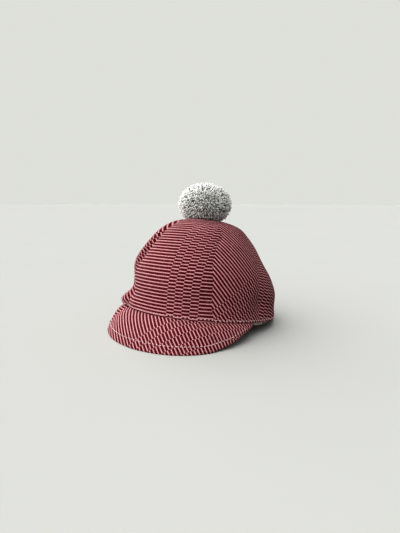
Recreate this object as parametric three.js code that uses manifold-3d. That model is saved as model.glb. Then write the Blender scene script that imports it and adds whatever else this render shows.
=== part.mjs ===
// A soft five-panel cap with a short turned-down peak and a wool pompom, standing on a flat surface
// as it does by itself: on the outer edge of its peak and on the back of its rim.
// Millimetres, +Z up, peak towards -Y, wearer's left towards +X. The origin lies on the surface,
// under the middle of the cap's box.
import * as THREE from 'three';
import { mergeVertices } from 'three/addons/utils/BufferGeometryUtils.js';
import Module from 'manifold-3d';

const wasm = await Module();
wasm.setup();

// Driving dimensions
const RIM_WIDTH = 174; // ear to ear, outside the cloth
const RIM_LENGTH = 194; // brow to nape, outside the cloth
const CROWN_HEIGHT = 121; // from the rim's plane to the top, square to that plane
const CROWN_WALL = 2.2; // woven cloth and its backing
const LEAN = 9.5; // degrees that the rim's plane rises towards the front
const SETTLE = 2; // how far the nape sinks until its hem lies flat on the surface
const SEAM_GAP = 0.3; // clearance between pieces that are sewn together
const TOP_HOLE = 3; // radius left open where the panels' points meet, under the pompom

const FRONT_SPREAD = 88; // degrees of the rim that the front panel takes
const SIDE_SPREAD = 44; // degrees of each side panel; the two back panels share the rest
const SEAM_SINK = 1.6; // how deep the cloth draws in along a seam
const SEAM_REACH = 7; // degrees to each side of a seam that it draws in
const SEAM_SHARPNESS = 1.6; // how steeply the cloth falls to the seam
const SEAM_FADE = 3; // seams flatten out over the last third of the way to the top
const FOLD_DIP = 5; // how far the right front seam lies under the fold of the panel behind it
const FOLD_RISE = 2.5; // how far that fold stands out of the crown
const FOLD_FRONT = 12; // reach of the dip towards the front, along the cloth
const FOLD_STEP = 3.2; // and towards the side, where the fold begins
const FOLD_BACK = 11; // reach of the fold itself

const PEAK_REACH = 34; // from the rim to the peak's edge at the middle, seen from above
const PEAK_SPREAD = 150; // degrees of the rim that the peak is sewn to
const PEAK_THICKNESS = 3.4;
const PEAK_BOW = 7; // how far the peak bellies up between rim and edge
const EDGE_LIFT = 0.6; // height of the peak's top side at its edge, as a share of its thickness
const PEAK_ROOT = 3; // the peak takes its full thickness after one part in this of its reach
const EDGE_ROUND = 0.3; // how far round its edge the peak's two sides go before they meet
const PEAK_END = 1; // degrees that a panel's column keeps from the peak's end

const BAND_HEIGHT = 26; // inner band, up from the rim
const BAND_WALL = 1.2;
const BAND_SHOW = 4; // how far the band hangs out under the rim at the sides
const BAND_SHOW_AT = 87; // degrees from the peak where it hangs out most
const BAND_SHOW_SPREAD = 12;

const POMPOM_WIDTH = 67;
const POMPOM_HEIGHT = 54; // of the whole ball, before the crown flattens its underside
const POMPOM_SINK = 9; // how far the ball's underside is pressed on to the crown
const POMPOM_GAP = 0.45; // clearance between the ball and the crown
const LOCK_LENGTH = 6; // how far a lock of yarn stands out of the ball's core
const LOCK_WIDTH = 9.5;
const LOCK_SPACING = 10.8;
const LOCK_TIP = 0.22; // radius of a lock's tip, as a share of its width

// Fineness of the facets
const COLUMN_ANGLE = 5; // degrees of a panel's facet
const BAND_ROWS = 3;
const CROWN_ROWS = 13; // above the inner band
const PEAK_ROWS = 5;
const LOCK_SIDES = 4;
const NORMAL_STEP = 0.03; // level to each side that the cloth's direction is taken from
const NORMAL_TOP = 0.995; // and the highest level for it
const AXIS_SHARE = 0.01; // radius of the thread of space left open along the crown's axis

// Level sections of the crown, as shares of its height and of the rim's half width and half length.
// forward is how far the soft crown slumps towards the peak, as a share of the half length.
const SECTIONS = [
  { level: 0.00, height: 0.000, width: 1.000, length: 1.000, forward: 0.000 },
  { level: 0.10, height: 0.110, width: 1.000, length: 1.000, forward: 0.000 },
  { level: 0.22, height: 0.240, width: 1.005, length: 1.000, forward: 0.010 },
  { level: 0.36, height: 0.400, width: 0.975, length: 0.960, forward: 0.035 },
  { level: 0.50, height: 0.560, width: 0.890, length: 0.880, forward: 0.070 },
  { level: 0.64, height: 0.715, width: 0.765, length: 0.760, forward: 0.110 },
  { level: 0.78, height: 0.855, width: 0.590, length: 0.590, forward: 0.145 },
  { level: 0.90, height: 0.955, width: 0.360, length: 0.360, forward: 0.165 },
  { level: 1.00, height: 1.000, width: 0.000, length: 0.000, forward: 0.175 },
];

// Soft dents (out below 0) and swells of the crown. azimuth and spread are degrees round the rim
// from the peak, + to the wearer's left; level and rise run up the crown; out is a share of the
// rim's half width.
const SWELLS = [
  { azimuth: -62, level: 0.05, spread: 26, rise: 0.100, out: 0.215 },
  { azimuth: -60, level: 0.42, spread: 24, rise: 0.180, out: 0.075 },
  { azimuth: 125, level: 0.22, spread: 34, rise: 0.130, out: 0.035 },
  { azimuth: 125, level: 0.02, spread: 40, rise: 0.100, out: 0.045 },
  { azimuth: 125, level: 0.54, spread: 30, rise: 0.120, out: -0.035 },
  { azimuth: 84, level: 0.16, spread: 9, rise: 0.090, out: -0.035 },
  { azimuth: 38, level: 0.20, spread: 9, rise: 0.070, out: -0.025 },
  { azimuth: 40, level: 0.80, spread: 22, rise: 0.080, out: 0.030 },
  { azimuth: 105, level: 0.86, spread: 45, rise: 0.090, out: 0.055 },
  { azimuth: -150, level: 0.35, spread: 30, rise: 0.150, out: -0.025 },
];

// How far each seam wanders round the head from its place at the rim, in degrees. The soft cloth
// has slipped round towards the wearer's left on its way up.
const SEAM_PATHS = [
  { level: 0.00, frontLeft: 1, sideLeft: -2, back: 0, sideRight: 0, frontRight: 0 },
  { level: 0.15, frontLeft: -2, sideLeft: -3, back: 0, sideRight: 0, frontRight: 0 },
  { level: 0.30, frontLeft: -2, sideLeft: -5, back: 0, sideRight: 0, frontRight: 0 },
  { level: 0.43, frontLeft: -2, sideLeft: 0, back: 0, sideRight: 0, frontRight: 2 },
  { level: 0.53, frontLeft: 0, sideLeft: 5, back: 3, sideRight: 3, frontRight: 6 },
  { level: 0.63, frontLeft: 4, sideLeft: 10, back: 6, sideRight: 6, frontRight: 10 },
  { level: 0.74, frontLeft: 13, sideLeft: 16, back: 10, sideRight: 8, frontRight: 12 },
  { level: 1.00, frontLeft: 18, sideLeft: 20, back: 15, sideRight: 10, frontRight: 14 },
];

// Share of the fold behind the right front seam at each level
const FOLD_SHARES = [
  { level: 0.00, share: 0.5 },
  { level: 0.05, share: 0.8 },
  { level: 0.12, share: 0.8 },
  { level: 0.22, share: 0.2 },
  { level: 0.30, share: 0.0 },
  { level: 0.40, share: 0.5 },
  { level: 0.50, share: 1.0 },
  { level: 0.80, share: 1.0 },
  { level: 0.93, share: 0.3 },
  { level: 1.00, share: 0.0 },
];

// The peak across its spread: place 0 is the middle and 1 an end. reach is a share of PEAK_REACH,
// drop a share of the rim's height above the surface.
const PEAK_SECTIONS = [
  { place: 0.00, reach: 1.00, drop: 1.00 },
  { place: 0.25, reach: 0.97, drop: 1.00 },
  { place: 0.50, reach: 0.81, drop: 0.98 },
  { place: 0.70, reach: 0.52, drop: 0.76 },
  { place: 0.85, reach: 0.28, drop: 0.42 },
  { place: 1.00, reach: 0.06, drop: 0.08 },
];

const cloth = { color: 0xa8485a, roughness: 0.85, metalness: 0 };
const peakCloth = { color: 0xb04f62, roughness: 0.85, metalness: 0 };
const bandCloth = { color: 0xd9d5cc, roughness: 0.9, metalness: 0 };
const wool = { color: 0xbfbcb4, roughness: 0.95, metalness: 0 };

const HALF_WIDTH = RIM_WIDTH / 2;
const HALF_LENGTH = RIM_LENGTH / 2;
const lean = THREE.MathUtils.degToRad(LEAN);
const rad = THREE.MathUtils.degToRad;

// Smooth value of one column of a table at x, with no overshoot between its rows.
function between(table, key, column, x, flatEnd = false) {
  const last = table.length - 1;
  const at = THREE.MathUtils.clamp(x, table[0][key], table[last][key]);
  let i = 0;
  while (i < last - 1 && at > table[i + 1][key]) i += 1;
  const rise = (k) => (table[k + 1][column] - table[k][column]) / (table[k + 1][key] - table[k][key]);
  const slope = (k) => {
    if (k === 0) return rise(0);
    if (k === last) return flatEnd ? 0 : rise(last - 1);
    const before = rise(k - 1);
    const after = rise(k);
    return before * after > 0 ? (2 * before * after) / (before + after) : 0;
  };
  const step = table[i + 1][key] - table[i][key];
  const s = (at - table[i][key]) / step;
  const rest = 1 - s;
  return table[i][column] * (1 + 2 * s) * rest * rest + slope(i) * step * s * rest * rest
    + table[i + 1][column] * (3 - 2 * s) * s * s - slope(i + 1) * step * s * s * rest;
}

const turn = (degrees) => THREE.MathUtils.euclideanModulo(degrees + 180, 360) - 180;

// Seams between the panels where they meet the rim, in degrees from the peak
const frontSeam = FRONT_SPREAD / 2;
const sideSeam = frontSeam + SIDE_SPREAD;
const SEAMS = {
  frontLeft: frontSeam, sideLeft: sideSeam, back: 180, sideRight: -sideSeam, frontRight: -frontSeam,
};
const seamAt = (seam, level) => SEAMS[seam] + between(SEAM_PATHS, 'level', seam, level);

// How far the crown stands out because of the fold: a dip at the seam and a low swell behind it
function fold(azimuth, level) {
  const radius = HALF_WIDTH * between(SECTIONS, 'level', 'width', level);
  const past = rad(turn(azimuth - seamAt('frontRight', level))) * radius;
  const dip = Math.exp(-((past / (past > 0 ? FOLD_FRONT : FOLD_STEP)) ** 2));
  const rise = Math.exp(-(((past + FOLD_BACK) / FOLD_BACK) ** 2));
  return between(FOLD_SHARES, 'level', 'share', level) * (FOLD_RISE * rise - FOLD_DIP * dip);
}

// How far the crown stands out of its plain sections: swells, dents and the draw of the seams.
function swell(azimuth, level, folded) {
  let out = folded ? fold(azimuth, level) : 0;
  for (const row of SWELLS) {
    const across = turn(azimuth - row.azimuth) / row.spread;
    const up = (level - row.level) / row.rise;
    out += row.out * HALF_WIDTH * Math.exp(-across * across - up * up);
  }
  const fade = Math.min(1, (1 - level) * SEAM_FADE);
  for (const seam of Object.keys(SEAMS)) {
    const across = Math.abs(turn(azimuth - seamAt(seam, level))) / SEAM_REACH;
    out -= SEAM_SINK * fade * Math.exp(-across * SEAM_SHARPNESS);
  }
  return out;
}

// Lays a point of the cap on the surface: leans it back on its nape, lets it settle and flattens
// what would sink in.
function stand(point) {
  const y = point.y * Math.cos(lean) + point.z * Math.sin(lean);
  const z = -point.y * Math.sin(lean) + point.z * Math.cos(lean);
  return new THREE.Vector3(point.x, y, Math.max(0, z + HALF_LENGTH * Math.sin(lean) - SETTLE));
}

// Crown's outside before it is laid down, at an azimuth in degrees and a level from 0 to 1
function crownForm(azimuth, level, folded = true) {
  const out = swell(azimuth, level, folded);
  const across = HALF_WIDTH * between(SECTIONS, 'level', 'width', level) + out;
  const along = HALF_LENGTH * between(SECTIONS, 'level', 'length', level) + out;
  const forward = HALF_LENGTH * between(SECTIONS, 'level', 'forward', level);
  const a = rad(azimuth);
  return new THREE.Vector3(
    across * Math.sin(a),
    -along * Math.cos(a) - forward,
    CROWN_HEIGHT * between(SECTIONS, 'level', 'height', level, true),
  );
}

// Direction out of the cloth, smooth across the seams
function crownNormal(azimuth, level) {
  const wide = SEAM_REACH;
  const low = Math.max(0, level - NORMAL_STEP);
  const high = Math.min(NORMAL_TOP, level + NORMAL_STEP);
  const round = crownForm(azimuth + wide, level).sub(crownForm(azimuth - wide, level));
  const up = crownForm(azimuth, high).sub(crownForm(azimuth, low));
  return round.cross(up).normalize();
}

// A point of the crown, depth millimetres inside the outside of its cloth
function crown(azimuth, level, depth = 0) {
  const point = crownForm(azimuth, level);
  return stand(point.addScaledVector(crownNormal(azimuth, level), -depth));
}

// Distance of the crown's outside from its upright axis, which turns a gap into an angle
function crownRadius(azimuth, level) {
  const middle = -HALF_LENGTH * between(SECTIONS, 'level', 'forward', level);
  const point = crownForm(azimuth, level);
  return Math.hypot(point.x, point.y - middle);
}

// Closed wall between two grids of points with the same rows and columns. loop joins the last
// column to the first.
function wallGeometry(outer, inner, loop = false) {
  const rows = outer.length;
  const columns = outer[0].length;
  const positions = [];
  for (const grid of [outer, inner]) {
    for (const row of grid) for (const point of row) positions.push(point.x, point.y, point.z);
  }
  const shift = rows * columns;
  const id = (side, row, column) => side * shift + row * columns + (column % columns);
  const index = [];
  const quad = (a, b, c, d) => {
    index.push(a, b, c, a, c, d);
  };
  const lastColumn = loop ? columns : columns - 1;
  for (let row = 0; row < rows - 1; row += 1) {
    for (let column = 0; column < lastColumn; column += 1) {
      quad(id(0, row, column), id(0, row, column + 1), id(0, row + 1, column + 1), id(0, row + 1, column));
      quad(id(1, row, column), id(1, row + 1, column), id(1, row + 1, column + 1), id(1, row, column + 1));
    }
  }
  for (let column = 0; column < lastColumn; column += 1) {
    const top = rows - 1;
    quad(id(0, 0, column), id(1, 0, column), id(1, 0, column + 1), id(0, 0, column + 1));
    quad(id(0, top, column), id(0, top, column + 1), id(1, top, column + 1), id(1, top, column));
  }
  if (!loop) {
    for (let row = 0; row < rows - 1; row += 1) {
      const end = columns - 1;
      quad(id(0, row, 0), id(0, row + 1, 0), id(1, row + 1, 0), id(1, row, 0));
      quad(id(0, row, end), id(1, row, end), id(1, row + 1, end), id(0, row + 1, end));
    }
  }
  const geometry = new THREE.BufferGeometry();
  geometry.setAttribute('position', new THREE.Float32BufferAttribute(positions, 3));
  geometry.setIndex(index);
  return geometry;
}

function named(name, geometry, finish) {
  geometry.computeVertexNormals();
  const mesh = new THREE.Mesh(geometry, new THREE.MeshStandardMaterial(finish));
  mesh.name = name;
  return mesh;
}

const steps = (count) => Array.from({ length: count + 1 }, (_, i) => i / count);

// Level at which the panels' points end, round the small hole at the top
function topLevel() {
  let level = 1;
  while (crownRadius(0, level) < TOP_HOLE) level -= 0.001;
  return level;
}
const TOP_LEVEL = topLevel();

// Rows of the crown's cloth: evenly up to the inner band's top, then evenly to the panels' points
const bandLevel = BAND_HEIGHT / CROWN_HEIGHT;
const BAND_LEVELS = steps(BAND_ROWS).map((t) => bandLevel * t);
const LEVELS = BAND_LEVELS.concat(
  steps(CROWN_ROWS).slice(1).map((t) => bandLevel + (TOP_LEVEL - bandLevel) * t),
);

// Panels as they follow each other round the head, each with its two seams
const PANELS = [
  { name: 'front_panel', from: 'frontRight', to: 'frontLeft', spread: FRONT_SPREAD },
  { name: 'side_panel_left', from: 'frontLeft', to: 'sideLeft', spread: SIDE_SPREAD },
  { name: 'back_panel_left', from: 'sideLeft', to: 'back', spread: 180 - sideSeam },
  { name: 'back_panel_right', from: 'back', to: 'sideRight', spread: 180 - sideSeam },
  { name: 'side_panel_right', from: 'sideRight', to: 'frontRight', spread: SIDE_SPREAD },
];

// Azimuths of a panel's columns at a level, its ends a trim in degrees short of the seams
function columnsOf(panel, level, trim = () => 0) {
  const start = seamAt(panel.from, level);
  const width = THREE.MathUtils.euclideanModulo(seamAt(panel.to, level) - start, 360);
  const from = start + trim(start);
  const to = start + width - trim(start + width);
  return steps(Math.round(panel.spread / COLUMN_ANGLE)).map((s) => from + (to - from) * s);
}

// Azimuths of all panels' columns at a level, each seam once
const roundAt = (level) => PANELS.flatMap((panel) => columnsOf(panel, level).slice(0, -1));

// One gore of the crown, from one seam to the next, half a gap short of each
function crownPanel(panel) {
  const grid = (depth) => LEVELS.map((level) => {
    const trim = (azimuth) => THREE.MathUtils.radToDeg(SEAM_GAP / 2 / crownRadius(azimuth, level));
    return columnsOf(panel, level, trim).map((azimuth) => crown(azimuth, level, depth));
  });
  return wallGeometry(grid(0), grid(CROWN_WALL));
}

// A point of the peak: across from -1 to 1 along the rim, out from 0 at the rim to 1 at the edge,
// under 0 on its top side and 1 on its lower side
function peakPoint(across, out, under) {
  const azimuth = across * PEAK_SPREAD / 2;
  const place = Math.abs(across);
  const top = crown(azimuth, 0).lerp(stand(crownForm(azimuth, 0, false)), out);
  const root = crown(azimuth, 0, under * CROWN_WALL);
  const reach = PEAK_REACH * between(PEAK_SECTIONS, 'place', 'reach', place);
  const drop = (top.z - EDGE_LIFT * PEAK_THICKNESS) * between(PEAK_SECTIONS, 'place', 'drop', place);
  const away = new THREE.Vector3(Math.sin(rad(azimuth)), -Math.cos(rad(azimuth)), 0);
  const slope = new THREE.Vector2(reach, drop).normalize();
  const padded = top.clone().addScaledVector(away, -under * PEAK_THICKNESS * slope.y);
  padded.z -= under * PEAK_THICKNESS * slope.x;
  const nose = out === 1 ? Math.sqrt(under * (1 - under)) * PEAK_THICKNESS : 0;
  const bow = PEAK_BOW * Math.sin(Math.PI * out) * (1 - place * place);
  const point = root.lerp(padded, Math.min(1, out * PEAK_ROOT));
  point.addScaledVector(away, reach * out + nose * slope.x);
  point.z = Math.max(0, point.z - SEAM_GAP - drop * out - nose * slope.y + bow);
  return point;
}

// Columns of the peak: its two ends and the panels' own columns between them, so that both rims
// have the same corners
function peakColumns() {
  const end = PEAK_SPREAD / 2;
  const inner = roundAt(0).map(turn).filter((azimuth) => Math.abs(azimuth) < end - PEAK_END);
  return [-end, ...inner.sort((a, b) => a - b), end].map((azimuth) => azimuth / end);
}

function peakGeometry() {
  const columns = peakColumns();
  const side = (under, turned) => {
    const rows = steps(PEAK_ROWS).map((out) => [out, under]);
    rows.push([1, turned]);
    return rows.map(([out, depth]) => columns.map((across) => peakPoint(across, out, depth))).reverse();
  };
  return wallGeometry(side(0, EDGE_ROUND), side(1, 1 - EDGE_ROUND));
}

// Inner band: a strip just inside the crown's cloth, hanging a little out of the rim at the sides
function bandGeometry() {
  const inside = CROWN_WALL + SEAM_GAP;
  const grid = (depth) => {
    const rows = BAND_LEVELS.map((level) => (
      roundAt(level).map((azimuth) => crown(azimuth, level, inside + depth))
    ));
    roundAt(0).forEach((azimuth, column) => {
      const side = (Math.abs(turn(azimuth)) - BAND_SHOW_AT) / BAND_SHOW_SPREAD;
      const hang = (BAND_SHOW + SEAM_GAP) * Math.exp(-side * side) - SEAM_GAP;
      const rise = rows[1][column].clone().sub(rows[0][column]);
      rows[0][column].addScaledVector(rise, -hang / rise.z);
    });
    return rows;
  };
  return wallGeometry(grid(0), grid(BAND_WALL), true);
}

// Solid of a closed mesh, its shared corners merged
function solid(geometry) {
  const bare = geometry.index ? geometry.clone() : geometry;
  bare.deleteAttribute('normal');
  bare.deleteAttribute('uv');
  const merged = mergeVertices(bare, 1e-4);
  return new wasm.Manifold(new wasm.Mesh({
    numProp: 3,
    vertProperties: Float32Array.from(merged.attributes.position.array),
    triVerts: Uint32Array.from(merged.index.array),
  }));
}

function geometryOf(manifold) {
  const mesh = manifold.getMesh();
  const geometry = new THREE.BufferGeometry();
  geometry.setAttribute('position', new THREE.BufferAttribute(Float32Array.from(mesh.vertProperties), 3));
  geometry.setIndex(Array.from(mesh.triVerts));
  return geometry;
}

// Everything inside the crown's outside, one clearance larger: what the pompom is pressed on to
function crownSolid() {
  const apex = crown(0, 1);
  const skin = LEVELS.map((level) => (
    roundAt(level).map((azimuth) => crown(azimuth, level, -POMPOM_GAP))
  ));
  const axis = skin.map((row) => row.map((point) => (
    new THREE.Vector3(apex.x, apex.y, point.z).lerp(point, AXIS_SHARE)
  )));
  return solid(wallGeometry(skin, axis, true));
}

// Wool ball: a core with locks of yarn standing out all over, evenly spread by the golden angle
function pompomGeometry() {
  const top = crown(0, 1);
  const centre = new THREE.Vector3(top.x, top.y, top.z + POMPOM_HEIGHT / 2 - POMPOM_SINK);
  const halfWidth = POMPOM_WIDTH / 2;
  const halfHeight = POMPOM_HEIGHT / 2;
  const coreGeometry = new THREE.IcosahedronGeometry(1, 2);
  coreGeometry.scale(halfWidth - LOCK_LENGTH, halfWidth - LOCK_LENGTH, halfHeight - LOCK_LENGTH);
  coreGeometry.translate(centre.x, centre.y, centre.z);
  let ball = solid(coreGeometry);
  const count = Math.round(4 * Math.PI * halfWidth * halfHeight / LOCK_SPACING ** 2);
  const golden = Math.PI * (3 - Math.sqrt(5));
  for (let i = 0; i < count; i += 1) {
    const up = 1 - (2 * i + 1) / count;
    const flat = Math.sqrt(1 - up * up);
    const away = new THREE.Vector3(flat * Math.cos(golden * i), flat * Math.sin(golden * i), up);
    const tip = away.clone().multiply(new THREE.Vector3(halfWidth, halfWidth, halfHeight));
    const length = 2 * LOCK_LENGTH;
    const lock = new THREE.CylinderGeometry(LOCK_WIDTH * LOCK_TIP, LOCK_WIDTH / 2, length, LOCK_SIDES);
    lock.translate(0, -length / 2, 0);
    lock.applyQuaternion(new THREE.Quaternion().setFromUnitVectors(new THREE.Vector3(0, 1, 0), away));
    lock.translate(centre.x + tip.x, centre.y + tip.y, centre.z + tip.z);
    ball = ball.add(solid(lock));
  }
  return geometryOf(ball.subtract(crownSolid()));
}

const cap = new THREE.Group();
for (const panel of PANELS) cap.add(named(panel.name, crownPanel(panel), cloth));
cap.add(named('peak', peakGeometry(), peakCloth));
cap.add(named('inner_band', bandGeometry(), bandCloth));
cap.add(named('pompom', pompomGeometry(), wool));

// Middle of the cap's box goes over the origin
const box = new THREE.Box3().setFromObject(cap);
cap.position.set(-(box.min.x + box.max.x) / 2, -(box.min.y + box.max.y) / 2, -box.min.z);

export default cap;
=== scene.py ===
# %% [markdown]
# # A soft woven cap with a pompom
#
# The cap stands by itself on a pale surface, on the edge of its short peak and on the back of its
# rim. It is sewn from five gores of a ribbed cloth with red and pink stripes, has a padded peak of
# the same cloth, an off-white band inside the rim and a ball of grey wool on top.
#
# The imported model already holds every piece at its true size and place. This lesson adds the finer
# surfaces and the finish.

import math

import bpy
import numpy as np
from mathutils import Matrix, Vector


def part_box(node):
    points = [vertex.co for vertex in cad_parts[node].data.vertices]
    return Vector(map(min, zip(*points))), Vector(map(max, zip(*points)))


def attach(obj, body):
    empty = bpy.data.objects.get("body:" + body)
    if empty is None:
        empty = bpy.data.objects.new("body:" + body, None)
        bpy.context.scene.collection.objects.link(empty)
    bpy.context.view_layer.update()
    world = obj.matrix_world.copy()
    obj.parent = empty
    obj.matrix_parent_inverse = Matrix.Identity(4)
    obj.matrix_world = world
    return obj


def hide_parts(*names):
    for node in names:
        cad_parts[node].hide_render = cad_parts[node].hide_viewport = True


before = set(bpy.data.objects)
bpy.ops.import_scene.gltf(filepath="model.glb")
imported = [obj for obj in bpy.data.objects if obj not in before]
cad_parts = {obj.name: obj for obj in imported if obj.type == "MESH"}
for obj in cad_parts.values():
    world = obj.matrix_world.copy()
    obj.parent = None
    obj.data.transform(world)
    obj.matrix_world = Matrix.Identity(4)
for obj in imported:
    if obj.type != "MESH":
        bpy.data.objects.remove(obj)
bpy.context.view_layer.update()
rng = np.random.default_rng(7)
MM = 0.001

# %% [markdown]
# ## The form of the crown
#
# A crown could be sculpted, or draped by simulation. Here it is a formula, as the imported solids
# are: a few level sections say how wide, long and high the crown is, and soft swells and dents
# stand out of it. The finer cloth then lies exactly where the solids lie.

# %% Sizes of the crown
HALF_WIDTH = 87 * MM
HALF_LENGTH = 97 * MM
CROWN_HEIGHT = 121 * MM
CROWN_WALL = 2.2 * MM
LEAN = math.radians(9.5)
SETTLE = 2 * MM
SEAM_SINK = 1.6 * MM
SEAM_REACH = 7.0
SEAM_SHARPNESS = 1.6
SEAM_FADE = 3
SEAM_GAP = 0.12 * MM
TOP_HOLE = 3 * MM
NORMAL_STEP = 0.03
NORMAL_TOP = 0.995

# level, height, width, length, forward
SECTIONS = np.array([
    (0.00, 0.000, 1.000, 1.000, 0.000),
    (0.10, 0.110, 1.000, 1.000, 0.000),
    (0.22, 0.240, 1.005, 1.000, 0.010),
    (0.36, 0.400, 0.975, 0.960, 0.035),
    (0.50, 0.560, 0.890, 0.880, 0.070),
    (0.64, 0.715, 0.765, 0.760, 0.110),
    (0.78, 0.855, 0.590, 0.590, 0.145),
    (0.90, 0.955, 0.360, 0.360, 0.165),
    (1.00, 1.000, 0.000, 0.000, 0.175),
])

# azimuth and spread in degrees, level and rise up the crown, out as a share of the half width
SWELLS = [
    (-62, 0.05, 26, 0.100, 0.215),
    (-60, 0.42, 24, 0.180, 0.075),
    (125, 0.22, 34, 0.130, 0.035),
    (125, 0.02, 40, 0.100, 0.045),
    (125, 0.54, 30, 0.120, -0.035),
    (84, 0.16, 9, 0.090, -0.035),
    (38, 0.20, 9, 0.070, -0.025),
    (40, 0.80, 22, 0.080, 0.030),
    (105, 0.86, 45, 0.090, 0.055),
    (-150, 0.35, 30, 0.150, -0.025),
]

# The seams in degrees from the peak, and how far each wanders from there at each level
SEAMS = {"front_left": 44, "side_left": 88, "back": 180, "side_right": 272, "front_right": 316}
SEAM_PATHS = np.array([
    (0.00, 1, -2, 0, 0, 0),
    (0.15, -2, -3, 0, 0, 0),
    (0.30, -2, -5, 0, 0, 0),
    (0.43, -2, 0, 0, 0, 2),
    (0.53, 0, 5, 3, 3, 6),
    (0.63, 4, 10, 6, 6, 10),
    (0.74, 13, 16, 10, 8, 12),
    (1.00, 18, 20, 15, 10, 14),
])

# Along the right front seam the side panel stands out in a fold over the front panel's edge.
# Share of the fold at each level
FOLD_SHARES = np.array([
    (0.00, 0.5),
    (0.05, 0.8),
    (0.12, 0.8),
    (0.22, 0.2),
    (0.30, 0.0),
    (0.40, 0.5),
    (0.50, 1.0),
    (0.80, 1.0),
    (0.93, 0.3),
    (1.00, 0.0),
])
FOLD_DIP = 5 * MM
FOLD_RISE = 2.5 * MM
FOLD_FRONT = 12 * MM
FOLD_STEP = 3.2 * MM
FOLD_BACK = 11 * MM


# %% Smooth columns between the rows of a table
def column(table, k, x, flat_end=False):
    """Cubic through one column of a table: slopes are harmonic means of the rises beside a row."""
    key = table[:, 0]
    value = table[:, k]
    step = np.diff(key)
    rise = np.diff(value) / step
    slope = np.empty(len(key))
    slope[0] = rise[0]
    slope[-1] = 0 if flat_end else rise[-1]
    before, after = rise[:-1], rise[1:]
    same = before * after > 0
    total = np.where(same, before + after, 1)
    slope[1:-1] = np.where(same, 2 * before * after / total, 0)
    x = np.clip(x, key[0], key[-1])
    i = np.clip(np.searchsorted(key, x, side="left") - 1, 0, len(step) - 1)
    s = (x - key[i]) / step[i]
    r = 1 - s
    start = value[i] * (1 + 2 * s) * r * r + slope[i] * step[i] * s * r * r
    end = value[i + 1] * (3 - 2 * s) * s * s - slope[i + 1] * step[i] * s * s * r
    return start + end


def turn(degrees):
    """The same direction, between -180 and 180 degrees."""
    return (degrees + 180) % 360 - 180


def unit(vectors):
    return vectors / np.linalg.norm(vectors, axis=-1, keepdims=True)


def seam_at(name, level):
    """Azimuth of a seam at a level: its place at the rim plus its wandering."""
    return SEAMS[name] + column(SEAM_PATHS, 1 + list(SEAMS).index(name), level)


# %% The crown as a function of azimuth and level
def swell(azimuth, level, folded=True):
    """Sum of soft bumps, exp(-across^2 - up^2) each, less a sharp little valley along each seam."""
    out = np.zeros(np.broadcast(azimuth, level).shape)
    for at, height, spread, rise, share in SWELLS:
        across = turn(azimuth - at) / spread
        up = (level - height) / rise
        out += share * HALF_WIDTH * np.exp(-across ** 2 - up ** 2)
    fade = np.minimum(1, (1 - level) * SEAM_FADE)
    for seam in SEAMS:
        across = np.abs(turn(azimuth - seam_at(seam, level))) / SEAM_REACH
        out -= SEAM_SINK * fade * np.exp(-SEAM_SHARPNESS * across)
    return out + fold(azimuth, level) if folded else out


def fold(azimuth, level):
    """A dip at the seam, wide to the front and steep to the side, and a low swell beyond it."""
    radius = HALF_WIDTH * column(SECTIONS, 2, level)
    past = np.radians(turn(azimuth - seam_at("front_right", level))) * radius
    dip = np.exp(-(past / np.where(past > 0, FOLD_FRONT, FOLD_STEP)) ** 2)
    rise = np.exp(-((past + FOLD_BACK) / FOLD_BACK) ** 2)
    return column(FOLD_SHARES, 1, level) * (FOLD_RISE * rise - FOLD_DIP * dip)


def crown_form(azimuth, level, folded=True):
    """Ellipse of the level's half width and half length plus the swell, at the level's height."""
    azimuth, level = np.broadcast_arrays(azimuth, level)
    out = swell(azimuth, level, folded)
    across = HALF_WIDTH * column(SECTIONS, 2, level) + out
    along = HALF_LENGTH * column(SECTIONS, 3, level) + out
    forward = HALF_LENGTH * column(SECTIONS, 4, level)
    a = np.radians(azimuth)
    up = CROWN_HEIGHT * column(SECTIONS, 1, level, flat_end=True)
    return np.stack([across * np.sin(a), -along * np.cos(a) - forward, up], -1)


def crown_normal(azimuth, level):
    """Cross product of the way round and the way up, both taken over a short stretch."""
    low = np.maximum(0, level - NORMAL_STEP)
    high = np.minimum(NORMAL_TOP, level + NORMAL_STEP)
    around = crown_form(azimuth + SEAM_REACH, level) - crown_form(azimuth - SEAM_REACH, level)
    up = crown_form(azimuth, high) - crown_form(azimuth, low)
    return unit(np.cross(around, up))


# %% Lay the cap down
def lean_back(point):
    """Turn about X by the lean, lift on to the nape, settle, and flatten what would sink in."""
    y = point[..., 1] * math.cos(LEAN) + point[..., 2] * math.sin(LEAN)
    z = -point[..., 1] * math.sin(LEAN) + point[..., 2] * math.cos(LEAN)
    z = np.maximum(0, z + HALF_LENGTH * math.sin(LEAN) - SETTLE)
    return np.stack([point[..., 0], y, z], -1)


def crown(azimuth, level, depth=0.0):
    """A point of the crown's cloth, depth inside its outside; depth may be an array."""
    depth = np.asarray(depth)[..., None]
    return lean_back(crown_form(azimuth, level) - crown_normal(azimuth, level) * depth)


# The crown's far corner has to meet the corner of the solid panel there
whole = crown(np.linspace(-180, 180, 721)[None, :-1], np.linspace(0, 1, 200)[:, None])
back_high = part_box("back_panel_left")[1]
SHIFT = np.array([back_high.x - whole[..., 0].max(), back_high.y - whole[..., 1].max(), 0.0])
print("cap moved to its box's middle by, in mm:", np.round(SHIFT / MM, 2))

# %% [markdown]
# ## Cloth from two grids
#
# Each gore is a wall of cloth. A Solidify modifier could thicken a sheet, but it would repeat the fine
# grid that the ribs need on the inside, where nobody looks. So the outside is a fine grid, the inside
# a coarse one, and a strip of triangles joins them round the edges.

# %% Fine outside, coarse inside
COARSE = 4


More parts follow.
